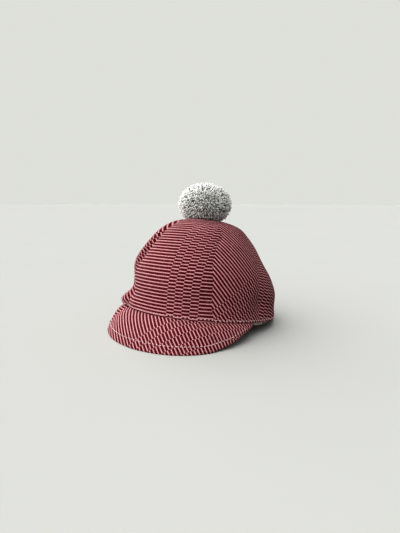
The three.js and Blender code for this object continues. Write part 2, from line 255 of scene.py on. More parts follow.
def quads_between(number, ring=False):
    """Quads between neighbours in a grid of point numbers; a ring joins its last column to its first."""
    if ring:
        number = np.concatenate([number, number[:, :1]], axis=1)
    corners = [number[:-1, :-1], number[:-1, 1:], number[1:, 1:], number[1:, :-1]]
    return np.stack(corners, -1).reshape(-1, 4)


def strip_faces(fine, coarse, flip=False):
    """Triangles between a fine edge and a coarse one with a point for every COARSE fine ones."""
    i = np.arange(len(fine) - 1)
    near = (i + COARSE // 2) // COARSE
    first = np.stack([fine[i], fine[i + 1], coarse[near]], -1)
    j = np.arange(len(coarse) - 1)
    second = np.stack([fine[COARSE * j + COARSE // 2], coarse[j + 1], coarse[j]], -1)
    both = np.concatenate([first, second])
    return both[:, ::-1] if flip else both


def new_mesh(name, points, faces, uv=None, sharp=55):
    """Puts whole arrays into a mesh: points, lists of faces, and a map in metres of cloth."""
    mesh = bpy.data.meshes.new(name)
    loops = np.concatenate([f.ravel() for f in faces]).astype(np.int32)
    sizes = np.concatenate([np.full(len(f), f.shape[1]) for f in faces])
    starts = np.concatenate([[0], np.cumsum(sizes)[:-1]]).astype(np.int32)
    mesh.vertices.add(len(points))
    mesh.vertices.foreach_set("co", np.ascontiguousarray(points, np.float32).ravel())
    mesh.loops.add(len(loops))
    mesh.loops.foreach_set("vertex_index", loops)
    mesh.polygons.add(len(sizes))
    mesh.polygons.foreach_set("loop_start", starts)
    mesh.polygons.foreach_set("use_smooth", np.ones(len(sizes), bool))
    mesh.update(calc_edges=True)
    if uv is not None:
        layer = mesh.uv_layers.new(name="cloth")
        layer.data.foreach_set("uv", np.ascontiguousarray(uv[loops], np.float32).ravel())
    mesh.set_sharp_from_angle(angle=math.radians(sharp))
    mesh.validate()
    made = bpy.data.objects.new(name, mesh)
    bpy.context.scene.collection.objects.link(made)
    return made


def wall(name, outer, outer_uv, inner, inner_uv):
    """Closed wall: outer is a fine grid of points, inner a grid with every COARSE row and column."""
    number = np.arange(outer[..., 0].size).reshape(outer.shape[:2])
    low = np.arange(inner[..., 0].size).reshape(inner.shape[:2]) + number.size
    faces = [
        quads_between(number),
        quads_between(low)[:, ::-1],
        strip_faces(number[0], low[0], flip=True),
        strip_faces(number[-1], low[-1]),
        strip_faces(number[:, 0], low[:, 0]),
        strip_faces(number[:, -1], low[:, -1], flip=True),
    ]
    points = np.concatenate([outer.reshape(-1, 3), inner.reshape(-1, 3)])
    uv = np.concatenate([outer_uv.reshape(-1, 2), inner_uv.reshape(-1, 2)])
    return new_mesh(name, points, faces, uv)


# %% [markdown]
# ## The ribbed weave
#
# The cloth is a warp rib: thick and thin picks leave cords about 2 mm wide, red and pink in turn.
# The red of each pair shows a little wider than the pink. Where the two colours of warp change
# places, the stripes shift by one cord, so wide plain blocks and groups of narrow blocks follow each
# other. Every gore is cut from that cloth at its own slant.
#
# The same flat measure of the cloth drives both halves of the effect. The cords are real relief in
# the mesh, and the colours come from the piece's map, which holds metres along and across the cords.

# %% Cords of the cloth
CORD = 2.0 * MM
CORD_RELIEF = 0.34 * MM
WIDE_BLOCK = 84 * MM
NARROW_BLOCK = 9.2 * MM
NARROW_COUNT = 4
RED_WIDTH = 1.24


def cord_relief(across):
    """Round cords: the absolute sine of the distance across them, filled out a little."""
    return CORD_RELIEF * (np.abs(np.sin(np.pi * across / CORD)) ** 0.7 - 0.6)


def cloth_map(u, v, slant, along=0.0, across=0.0):
    """Turns flat measures (u round, v up) into (along, across) the cords, which fall to the right."""
    b = math.radians(slant)
    return np.stack([
        u * math.cos(b) - v * math.sin(b) + along,
        u * math.sin(b) + v * math.cos(b) + across,
    ], -1)


# %% Flat measure of a gore
def flat_measure(points, azimuth, straight):
    """u is the arc length along a row from the straight line, v the arc length up the middle."""
    around = np.linalg.norm(np.diff(points, axis=1), axis=-1)
    u = np.concatenate([np.zeros((len(points), 1)), np.cumsum(around, axis=1)], axis=1)
    first = azimuth[:, :1]
    share = (straight - first) / (azimuth[:, -1:] - first)
    u = u - share * u[:, -1:]
    middle = points[:, points.shape[1] // 2]
    rise = np.linalg.norm(np.diff(middle, axis=0), axis=-1)
    v = np.concatenate([[0], np.cumsum(rise)])[:, None] + np.zeros_like(u)
    return u, v


# %% [markdown]
# ## The five gores
#
# A gore runs from seam to seam and from the rim to the top. It could be cut flat and draped, but
# then the seams would have to be fitted. Here two neighbours take the same curve as their edge. The
# grid has a point about every 0.7 mm, fine enough for cords of 2 mm. Behind the temples a hem line
# runs a finger's width above the rim, and all round the rim the cloth rolls outwards a little.

# %% Gores and how each is cut
GRID = 0.72 * MM
ARC_SHARE = 1.32
HEM = 11 * MM
HEM_SINK = 0.5 * MM
HEM_WIDTH = 0.8 * MM
HEM_FROM = 66
HEM_FADE = 2.5
ROLL = 0.6 * MM
ROLL_HEIGHT = 1.4 * MM
ROLL_WIDTH = 1.6 * MM
EDGE_FADE = 0.8 * MM
STRAIGHT = 0.35
GORES = [
    dict(name="front_panel", seams=("front_right", "front_left"), slant=0, along=70, across=1.3),
    dict(name="side_panel_left", seams=("front_left", "side_left"), slant=52, along=117, across=0),
    dict(name="back_panel_left", seams=("side_left", "back"), slant=18, along=60, across=1.3),
    dict(name="back_panel_right", seams=("back", "side_right"), slant=46, along=20, across=0.8),
    dict(name="side_panel_right", seams=("side_right", "front_right"), slant=38, along=10, across=0.4),
]


def top_level():
    """Level where the crown is as narrow as the small hole under the pompom."""
    level = np.linspace(0.9, 1, 1001)
    middle = -HALF_LENGTH * column(SECTIONS, 4, level)
    point = crown_form(np.zeros_like(level), level)
    radius = np.hypot(point[:, 0], point[:, 1] - middle)
    return float(level[radius > TOP_HOLE].max())


TOP_LEVEL = top_level()


def gore_grid(gore, step):
    """Points between two seams, half a gap short of each, and their azimuths and levels."""
    tall, wide = gore_counts(gore)
    level = np.linspace(0, TOP_LEVEL, tall * COARSE + 1)[::step][:, None]
    middle = -HALF_LENGTH * column(SECTIONS, 4, level)
    s = np.linspace(0, 1, wide * COARSE + 1)[::step][None, :]
    ends = []
    for seam, way in zip(gore["seams"], (1, -1)):
        at = seam_at(seam, level)
        point = crown_form(at, level)
        away = np.hypot(point[..., 0], point[..., 1] - middle)
        ends.append(at + way * np.degrees(SEAM_GAP / 2 / away))
    start = np.where(ends[0] > ends[1], ends[0] - 360, ends[0])
    azimuth = start + (ends[1] - start) * s
    level = level + 0 * azimuth
    return crown_form(azimuth, level), crown_normal(azimuth, level), azimuth, level


def gore_counts(gore):
    """Coarse rows and columns of a gore, each standing for COARSE fine ones."""
    turned = (SEAMS[gore["seams"][1]] - SEAMS[gore["seams"][0]]) % 360
    arc = math.radians(turned) * HALF_LENGTH
    height = ARC_SHARE * CROWN_HEIGHT
    return round(height / GRID / COARSE), round(arc / GRID / COARSE)


def make_gore(gore):
    """Outer grid is form + normal * (cords + hem line + rolled rim); the inner lies a wall deeper."""
    form, normal, azimuth, level = gore_grid(gore, 1)
    middle = azimuth[:, azimuth.shape[1] // 2][:, None]
    straight = middle[0] + STRAIGHT * (middle - middle[0])
    u, v = flat_measure(form, azimuth, straight)
    cloth = cloth_map(u, v, gore["slant"], gore["along"] * MM, gore["across"] * MM)
    relief = cord_relief(cloth[..., 1])
    behind = 1 / (1 + np.exp(-(np.abs(turn(azimuth)) - HEM_FROM) / HEM_FADE))
    hem = -HEM_SINK * behind * np.exp(-((v - HEM) / HEM_WIDTH) ** 2)
    edge = np.minimum(1, np.minimum(v, v.max() - v) / EDGE_FADE)
    roll = ROLL * np.exp(-((v - ROLL_HEIGHT) / ROLL_WIDTH) ** 2)
    outer = lean_back(form + normal * ((relief + hem) * edge + roll)[..., None])
    form_in, normal_in, _, _ = gore_grid(gore, COARSE)
    inner = lean_back(form_in - normal_in * CROWN_WALL)
    made = wall(gore["name"] + "_cloth", outer + SHIFT, cloth, inner + SHIFT,
                cloth[::COARSE, ::COARSE])
    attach(made, "root")
    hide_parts(gore["name"])
    return made


gores = [make_gore(gore) for gore in GORES]

# %% [markdown]
# ## The peak
#
# The peak is a stiffener between two layers of the cloth, sewn under the rim and turned down
# steeply. Its section is a closed loop: out along the top side, round the padded edge and back
# underneath. Carrying that loop round the brow gives the whole piece at once.

# %% Sizes of the peak
PEAK_REACH = 34 * MM
PEAK_SPREAD = 150.0
PEAK_THICKNESS = 3.4 * MM
PEAK_BOW = 7 * MM
EDGE_LIFT = 0.6
PEAK_GAP = 0.3 * MM
PEAK_SLANT = 46.0
PEAK_UNROLL = 0.6
PEAK_ROOT_RADIUS = 95 * MM
PEAK_STRETCH = 0.9
PEAK_ALONG = 85 * MM
PEAK_ROOT = 3
PEAK_AT_EDGE = 0.999
PEAK_COLUMNS = 280
PEAK_TOP_ROWS = 52
PEAK_EDGE_ROWS = 11
PEAK_UNDER_ROWS = 26
PEAK_CORD_FADE = 2 * MM
PEAK_END_FADE = 20

# place, reach, drop
PEAK_SECTIONS = np.array([
    (0.00, 1.00, 1.00),
    (0.25, 0.97, 1.00),
    (0.50, 0.81, 0.98),
    (0.70, 0.52, 0.76),
    (0.85, 0.28, 0.42),
    (1.00, 0.06, 0.08),
])


def peak_points(across, out, under):
    """Rim point carried out by reach and down by drop, bellied by a sine, rounded at the edge."""
    azimuth = across * PEAK_SPREAD / 2
    place = np.abs(across)
    rim = crown(azimuth, np.zeros_like(azimuth))
    unfolded = lean_back(crown_form(azimuth, np.zeros_like(azimuth), folded=False))
    top = rim + (unfolded - rim) * out[..., None]
    root = crown(azimuth, np.zeros_like(azimuth), under * CROWN_WALL)
    reach = PEAK_REACH * column(PEAK_SECTIONS, 1, place)
    drop = (top[..., 2] - EDGE_LIFT * PEAK_THICKNESS) * column(PEAK_SECTIONS, 2, place)
    a = np.radians(azimuth)
    away = np.stack([np.sin(a), -np.cos(a), 0 * a], -1)
    length = np.hypot(reach, drop)
    flat, steep = reach / length, drop / length
    padded = top - away * (under * PEAK_THICKNESS * steep)[..., None]
    padded[..., 2] -= under * PEAK_THICKNESS * flat
    nose = np.where(out > PEAK_AT_EDGE, np.sqrt(under * (1 - under)) * PEAK_THICKNESS, 0)
    bow = PEAK_BOW * np.sin(np.pi * np.minimum(out, 1)) * (1 - place ** 2)
    share = np.minimum(1, out * PEAK_ROOT)[..., None]
    point = root * (1 - share) + padded * share + away * (reach * out + nose * flat)[..., None]
    point[..., 2] += bow - PEAK_GAP - drop * out - nose * steep
    return point


# %% Make the peak
def make_peak():
    """Carries the section's loop round the brow; its map is an arc of cloth unrolled about one point."""
    across = np.linspace(-1, 1, PEAK_COLUMNS)[None, :]
    top = [(out, 0.0) for out in np.linspace(0, 1, PEAK_TOP_ROWS)]
    edge = [(1.0, under) for under in np.linspace(0, 1, PEAK_EDGE_ROWS)[1:-1]]
    lower = [(out, 1.0) for out in np.linspace(1, 0, PEAK_UNDER_ROWS)]
    path = np.array(top + edge + lower)
    out = path[:, 0][:, None] + 0 * across
    under = path[:, 1][:, None] + 0 * across
    across = across + 0 * out
    point = peak_points(across, out, under)
    run = np.linalg.norm(np.diff(point, axis=0), axis=-1)
    run = np.concatenate([np.zeros((1, PEAK_COLUMNS)), np.cumsum(run, axis=0)])
    angle = np.radians(PEAK_UNROLL * across * PEAK_SPREAD / 2 - PEAK_SLANT)
    radius = PEAK_ROOT_RADIUS / PEAK_UNROLL + run
    cloth = np.stack([radius * np.cos(angle) * PEAK_STRETCH + PEAK_ALONG, radius * np.sin(angle)], -1)
    normal = np.cross(np.gradient(point, axis=1), np.gradient(point, axis=0))
    normal /= np.maximum(1e-9, np.linalg.norm(normal, axis=-1, keepdims=True))
    normal *= np.sign(normal[PEAK_TOP_ROWS // 2, PEAK_COLUMNS // 2, 2])
    fade = np.minimum(1, np.minimum(run, run[-1] - run) / PEAK_CORD_FADE)
    fade *= np.minimum(1, (1 - np.abs(across)) * PEAK_END_FADE)
    point = point + normal * (cord_relief(cloth[..., 1]) * fade)[..., None]
    point[..., 2] = np.maximum(0, point[..., 2])
    count = len(path)
    number = np.arange(count * PEAK_COLUMNS).reshape(count, PEAK_COLUMNS)
    faces = [quads_between(number)[:, ::-1], quads_between(number[[-1, 0]])[:, ::-1]]
    points = point.reshape(-1, 3)
    uv = cloth.reshape(-1, 2)
    for end, flip in ((0, False), (-1, True)):
        loop = number[:, end]
        centre = len(points)
        points = np.concatenate([points, points[loop].mean(0)[None]])
        uv = np.concatenate([uv, uv[loop].mean(0)[None]])
        fan = np.stack([loop, np.roll(loop, -1), np.full(count, centre)], -1)
        faces.append(fan if flip else fan[:, ::-1])
    made = new_mesh("peak_cloth_over_stiffener", points + SHIFT, faces, uv)
    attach(made, "root")
    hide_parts("peak")
    print(made.name, "faces", len(made.data.polygons))
    return made


peak = make_peak()

# %% [markdown]
# ## The inner band
#
# A strip of off-white cotton is sewn just inside the rim and hangs a little below it at the sides,
# where a sliver of it shows. It could be bent from a flat strip, but the rim waves. So the band is a
# closed ring whose points are the crown's own, taken a little deeper than the wall.

# %% Make the band
BAND_HEIGHT = 26 * MM
BAND_WALL = 1.2 * MM
BAND_CLEAR = 0.45 * MM
BAND_SHOW = 4.0 * MM
BAND_SHOW_AT = 87.0
BAND_SHOW_SPREAD = 12.0
BAND_HEM = 0.3 * MM
BAND_COLUMNS = 480
BAND_ROWS = 14
BAND_SLOPE_ROW = 3
BAND_DROOP = 3
BAND_RIPPLE = 0.25 * MM
BAND_RIPPLES = 23


def make_band():
    """Crown points a little inside the wall; the lowest rows slide down along the cloth's slope."""
    azimuth = (np.arange(BAND_COLUMNS) * 360 / BAND_COLUMNS - 180)[None, :]
    depth = CROWN_WALL + BAND_CLEAR
    up = np.linspace(0, 1, BAND_ROWS)[:, None]
    sides = []
    for inside in (0, 1):
        level = up * BAND_HEIGHT / CROWN_HEIGHT + 0 * azimuth
        wave = BAND_RIPPLE * np.sin(np.radians(azimuth * BAND_RIPPLES)) * inside
        point = crown(azimuth + 0 * level, level, depth + inside * BAND_WALL + wave + 0 * level)
        side = np.exp(-((np.abs(azimuth) - BAND_SHOW_AT) / BAND_SHOW_SPREAD) ** 2)
        hang = (BAND_SHOW + BAND_HEM) * side - BAND_HEM
        rise = point[BAND_SLOPE_ROW] - point[0]
        rise = rise / rise[..., 2:]
        point -= rise * (hang * (1 - up) ** BAND_DROOP)[..., None]
        sides.append(point)
    section = np.concatenate([sides[0], sides[1][::-1]])
    count = len(section)
    number = np.arange(count * BAND_COLUMNS).reshape(count, BAND_COLUMNS)
    quads = quads_between(np.concatenate([number, number[:1]]), ring=True)
    u = np.radians(azimuth) * (HALF_WIDTH + HALF_LENGTH) / 2 + np.zeros((count, 1))
    v = np.concatenate([up, up[::-1]]) * BAND_HEIGHT + 0 * azimuth
    uv = np.stack([u, v], -1).reshape(-1, 2)
    made = new_mesh("inner_band_cloth", section.reshape(-1, 3) + SHIFT, [quads], uv)
    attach(made, "root")
    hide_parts("inner_band")
    return made


band = make_band()

# %% [markdown]
# ## Rows of stitches
#
# Pale thread shows in two rows: one just above the rim, which holds the band and the peak, and one
# close inside the peak's edge. Painted dashes would lie flat, so every stitch is a short bent tube
# that comes out of the cloth and goes back in. A row is worked out at once from the line it follows.

# %% Stitches along a line
STITCH_PITCH = 4.4 * MM
STITCH_LENGTH = 2.3 * MM
STITCH_RADIUS = 0.42 * MM
STITCH_LIFT = 0.34 * MM
STITCH_SIDES = 6
STITCH_TAPER = np.array([0.5, 0.9, 1.0, 1.0, 0.9, 0.5])
TOPSTITCH_OUT = 0.87
TOPSTITCH_REACH = 0.9
TOPSTITCH_LIFT = 0.1 * MM
RIM_ROW_HEIGHT = 2.4 * MM
RIM_ROW_OUT = 0.5 * MM


def along_line(values, travelled, at):
    """Values of a line's points at other distances along it."""
    return np.stack([np.interp(at, travelled, values[:, k]) for k in range(3)], -1)


def stitch_row(name, line, normal):
    """Tube about centre(t) = line + normal * lift * sin(pi t), thinner at both ends."""
    travelled = np.concatenate([[0], np.cumsum(np.linalg.norm(np.diff(line, axis=0), axis=1))])
    starts = np.arange(STITCH_PITCH / 2, travelled[-1] - STITCH_LENGTH, STITCH_PITCH)
    t = np.linspace(0, 1, len(STITCH_TAPER))
    at = starts[:, None] + STITCH_LENGTH * t
    out = unit(along_line(normal, travelled, at))
    centre = along_line(line, travelled, at) + out * (STITCH_LIFT * np.sin(np.pi * t))[None, :, None]
    tangent = np.gradient(centre, axis=1)
    side = unit(np.cross(out, tangent))
    radius = STITCH_RADIUS * STITCH_TAPER
    a = np.arange(STITCH_SIDES) * 2 * math.pi / STITCH_SIDES
    hoop = side[:, :, None] * np.cos(a)[:, None] + out[:, :, None] * np.sin(a)[:, None]
    points = centre[:, :, None] + hoop * radius[None, :, None, None]
    block = len(t) * STITCH_SIDES
    number = np.arange(block).reshape(len(t), STITCH_SIDES)
    onward = np.roll(number, -1, axis=1)
    quads = np.stack([number[:-1], number[1:], onward[1:], onward[:-1]], -1).reshape(-1, 4)
    base = np.arange(len(starts)) * block
    tubes = (quads[None] + base[:, None, None]).reshape(-1, 4)
    first = number[0][None] + base[:, None]
    last = number[-1][::-1][None] + base[:, None]
    points = points.reshape(-1, 3)
    uv = np.repeat(np.stack([starts, 0 * starts], -1), block, axis=0)
    made = new_mesh(name, points + SHIFT, [tubes, first, last], uv)
    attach(made, "root")
    print(name, "stitches", len(starts))
    return made


def peak_row():
    """A row that keeps the same share of the way from the rim to the peak's edge."""
    across = np.linspace(-TOPSTITCH_REACH, TOPSTITCH_REACH, 400)
    out = np.full_like(across, TOPSTITCH_OUT)
    here = peak_points(across, out, 0 * out)
    further = peak_points(across, out + 0.02, 0 * out)
    normal = unit(np.cross(np.gradient(here, axis=0), further - here))
    normal *= np.sign(normal[len(normal) // 2, 2])
    return stitch_row("peak_topstitch", here + normal * TOPSTITCH_LIFT, normal)


def rim_row():
    """A row all round at one level of the crown, lifted clear of the cloth."""
    azimuth = np.linspace(-180, 180, 1441)
    level = np.full_like(azimuth, RIM_ROW_HEIGHT / CROWN_HEIGHT)
    line = crown(azimuth, level, -RIM_ROW_OUT)
    inside = crown(azimuth, level)
    return stitch_row("rim_stitch", line, line - inside)


stitches = [peak_row(), rim_row()]

# %% [markdown]
# ## The pompom
#
# A pompom is a bundle of wool tied at its middle and clipped to a ball, so what shows is some 2500
# cut ends, all pointing outwards. Hair particles would do on screen, but they don't export. Here
# every end is a small bent tube: one tube is worked out for a whole array of directions at once. A
# grey core fills the middle, so that nothing behind the ball shows through the gaps; its darker
# grey is painted shade for the depths between the ends.

# %% Sizes of the pompom
POMPOM_WIDTH = 67 * MM
POMPOM_HEIGHT = 54 * MM
POMPOM_SINK = 9 * MM
YARN_COUNT = 2500
YARN_SIDES = 5
YARN_RADIUS = 0.66 * MM
POMPOM_CLEAR = 0.45 * MM
POMPOM_TREMBLE = 0.2 * MM
YARN_ROOT = 0.56
YARN_SCATTER = 0.07
YARN_TRIM = 0.026
YARN_BEND = 3.4
YARN_GIRTH = np.array([0.8, 1.0, 1.05, 1.1, 1.18, 0.75])
YARN_TIP = 0.5
CORE_SHARE = 0.82

apex = crown(np.array([0.0]), np.array([1.0]))[0]
ball_centre = apex + np.array([0, 0, POMPOM_HEIGHT / 2 - POMPOM_SINK])
ball_half = np.array([POMPOM_WIDTH / 2, POMPOM_WIDTH / 2, POMPOM_HEIGHT / 2])


def crown_top_height(points):
    """Height of the crown's outside under points near the top, by azimuth and distance from it."""
    levels = np.linspace(0.5, 1, 60)
    azimuths = np.arange(-180, 180, 6.0)
    surface = crown(azimuths[:, None] + 0 * levels, levels[None, :] + 0 * azimuths[:, None])
    away = surface - apex
    radius = np.hypot(away[..., 0], away[..., 1])[:, ::-1]
    height = surface[..., 2][:, ::-1]
    offset = points - apex
    at = np.degrees(np.arctan2(offset[:, 0], -offset[:, 1]))
    slot = np.round((at + 180) / 6).astype(int) % len(azimuths)
    far = np.hypot(offset[:, 0], offset[:, 1])
    found = np.zeros(len(points))
    for k in range(len(azimuths)):
        mine = slot == k
        found[mine] = np.interp(far[mine], radius[k], height[k])
    return found


# %% One bent tube for every yarn end
def make_yarn():
    """Directions on a sunflower spiral; spine = ball * share of the way out + bend * sin(share)."""
    ring_count = len(YARN_GIRTH)
    i = np.arange(YARN_COUNT)
    up = 1 - (2 * i + 1) / YARN_COUNT
    around = i * math.pi * (3 - math.sqrt(5))
    flat = np.sqrt(1 - up * up)
    away = np.stack([flat * np.cos(around), flat * np.sin(around), up], -1)
    away = unit(away + rng.normal(0, YARN_SCATTER, away.shape))
    bend = rng.normal(0, 1, away.shape)
    bend = unit(bend - away * np.sum(bend * away, -1, keepdims=True))
    side = np.cross(away, bend)
    trim = 1 + rng.normal(0, YARN_TRIM, YARN_COUNT)
    curl = rng.uniform(0.2, 1.7, YARN_COUNT) * MM
    thick = YARN_RADIUS * rng.uniform(0.75, 1.25, YARN_COUNT)
    t = np.linspace(0, 1, ring_count)
    share = YARN_ROOT + (1 - YARN_ROOT) * t
    spine = away[:, None, :] * ball_half * (share * trim[:, None])[..., None]
    wave = np.sin(t * YARN_BEND)[None, :] * curl[:, None]
    spine = ball_centre + spine + bend[:, None, :] * wave[..., None]
    a = np.arange(YARN_SIDES) * 2 * math.pi / YARN_SIDES
    offset = (bend[:, None, None, :] * np.cos(a)[None, None, :, None]
              + side[:, None, None, :] * np.sin(a)[None, None, :, None])
    radius = thick[:, None] * YARN_GIRTH[None, :]
    points = spine[:, :, None, :] + offset * radius[:, :, None, None]
    tips = spine[:, -1] + away * thick[:, None] * YARN_TIP
    block = ring_count * YARN_SIDES + 1
    points = np.concatenate([points.reshape(YARN_COUNT, -1, 3), tips[:, None]], axis=1)
    points = points.reshape(-1, 3)
    lowest = crown_top_height(points) + POMPOM_CLEAR + rng.uniform(0, POMPOM_TREMBLE, len(points))
    points[:, 2] = np.maximum(points[:, 2], lowest)
    number = np.arange(block - 1).reshape(ring_count, YARN_SIDES)
    quad = quads_between(number, ring=True)
    cap = np.stack([number[-1], np.roll(number[-1], -1), np.full(YARN_SIDES, block - 1)], -1)
    base = (np.arange(YARN_COUNT) * block)[:, None, None]
    quads = (quad[None] + base).reshape(-1, 4)
    caps = (cap[None] + base).reshape(-1, 3)
    bottom = (np.arange(YARN_SIDES)[::-1][None] + base[:, 0]).astype(int)
    tone = rng.uniform(0, 1, YARN_COUNT)
    length = np.concatenate([np.repeat(t, YARN_SIDES), [1.0]])
    uv = np.stack([np.repeat(tone, block), np.tile(length, YARN_COUNT)], -1)
    return new_mesh("pompom_yarn", points + SHIFT, [quads, caps, bottom], uv, sharp=80)


def make_pompom():
    """The yarn ends and their core, an ellipsoid flattened where it sits on the crown."""
    yarn = make_yarn()
    v = np.linspace(0, math.pi, 33)[:, None]
    u = np.linspace(0, 2 * math.pi, 65)[None, :-1]
    ball = np.stack([np.sin(v) * np.cos(u), np.sin(v) * np.sin(u), -np.cos(v) + 0 * u], -1)
    ball = ball[1:-1] * ball_half * CORE_SHARE + ball_centre
    points = ball.reshape(-1, 3)
    points = np.concatenate([points, ball[0].mean(0)[None], ball[-1].mean(0)[None]])
    points[:, 2] = np.maximum(points[:, 2], crown_top_height(points) + POMPOM_CLEAR)
    count, around = ball.shape[:2]
    number = np.arange(count * around).reshape(count, around)
    loop = np.concatenate([number, number[:, :1]], axis=1)
    quads = quads_between(loop)
    low = np.stack([loop[0, 1:], loop[0, :-1], np.full(around, count * around)], -1)
    high = np.stack([loop[-1, :-1], loop[-1, 1:], np.full(around, count * around + 1)], -1)
    core = new_mesh("pompom_core", points + SHIFT, [quads, low, high])
    for piece in (yarn, core):
        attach(piece, "root")
    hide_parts("pompom")
    print("pompom faces", len(yarn.data.polygons), "core", len(core.data.polygons))
    return yarn, core


yarn, core = make_pompom()

# %% [markdown]
# ## Shading the weave
#
# The colours could be painted on an image, but an image blurs close up. Here they are worked out
# from the map: a cord's number gives red or pink, a block's number says whether the two change
# places, and short yarn segments across each cord give the grain. Painted shade darkens the groove
# between the cords and the edges of each yarn segment. The same arithmetic gives a height for the
# finest bump. It is one node group, because the crown and the peak share it.


# %% Node helpers
def socket_in(group, name, value, kind="NodeSocketFloat"):
    made = group.interface.new_socket(name=name, in_out="INPUT", socket_type=kind)
    made.default_value = value
    return made


def socket_out(group, name, kind="NodeSocketFloat"):
    return group.interface.new_socket(name=name, in_out="OUTPUT", socket_type=kind)


class Wiring:
    """Short calls for making and joining nodes in one tree."""

    def __init__(self, tree):
        self.tree = tree

    def node(self, kind, **values):
        made = self.tree.nodes.new(kind)
        for key, value in values.items():
            setattr(made, key, value)
        return made

    def put(self, value, socket):
        if isinstance(value, bpy.types.NodeSocket):
            self.tree.links.new(value, socket)
        else:
            socket.default_value = value

    def maths(self, operation, *values, clamp=False):
        made = self.node("ShaderNodeMath", operation=operation, use_clamp=clamp)
        for value, socket in zip(values, made.inputs):
            self.put(value, socket)
        return made.outputs[0]

    def blend(self, factor, first, second, mode="MIX"):
        made = self.node("ShaderNodeMix", data_type="RGBA", blend_type=mode)
        self.put(factor, made.inputs[0])
        self.put(first, made.inputs[6])
        self.put(second, made.inputs[7])
        return made.outputs[2]

    def span(self, value, low, high, to_low=0.0, to_high=1.0):
        """Maps a range smoothly on to another."""
        made = self.node("ShaderNodeMapRange", interpolation_type="SMOOTHSTEP")
        for part, socket in zip((value, low, high, to_low, to_high), made.inputs):
            self.put(part, socket)
        return made.outputs[0]

    def noise(self, vector, scale, detail=2.0, rough=0.5):
        made = self.node("ShaderNodeTexNoise")
        self.tree.links.new(vector, made.inputs["Vector"])
        made.inputs["Scale"].default_value = scale
        made.inputs["Detail"].default_value = detail
        made.inputs["Roughness"].default_value = rough
        return made.outputs["Fac"]

    def place(self):
        return self.node("ShaderNodeTexCoord").outputs["Object"]

    def piece_map(self):
        return self.node("ShaderNodeUVMap", uv_map="cloth").outputs[0]

    def parts(self, vector, scale=1.0):
        """The vector times a scale, and its first two numbers."""
        scaled = self.node("ShaderNodeVectorMath", operation="SCALE")
        self.put(vector, scaled.inputs[0])
        scaled.inputs["Scale"].default_value = scale
        split = self.node("ShaderNodeSeparateXYZ")
        self.put(scaled.outputs[0], split.inputs[0])
        return scaled.outputs[0], split.outputs[0], split.outputs[1]

    def bump(self, height, distance, strength, shader):
        """Lets a height up to a distance tilt the shader's normal."""
        made = self.node("ShaderNodeBump")
        made.inputs["Distance"].default_value = distance
        made.inputs["Strength"].default_value = strength
        self.put(height, made.inputs["Height"])
        self.put(made.outputs[0], shader.inputs["Normal"])


def start_material(name, finish):
    """A new material with its wiring and its shader, whose inputs take the finish."""
    made = bpy.data.materials.new(name)
    made.use_nodes = True
    shader = made.node_tree.nodes["Principled BSDF"]
    for key, value in finish.items():
        shader.inputs[key].default_value = value
    return made, Wiring(made.node_tree), shader


def colour(red, green, blue):
    """Linear colour from the 0 to 255 values that a screen shows."""
    shares = np.array([red, green, blue]) / 255
    linear = np.where(shares <= 0.04045, shares / 12.92, ((shares + 0.055) / 1.055) ** 2.4)
    return (*linear.tolist(), 1.0)


# %% The weave as a node group
WEFT_WIDTH = 0.75
WEFT_SLANT = 0.45
CORD_WANDER = 0.5
STRAY_PINK = 0.12
TONE_LOW = 0.80
TONE_SPAN = 0.34
# painted shade: how dark the colour gets in the groove between cords and between yarns
GROOVE_SHADE = 0.42
BETWEEN_SHADE = 0.80


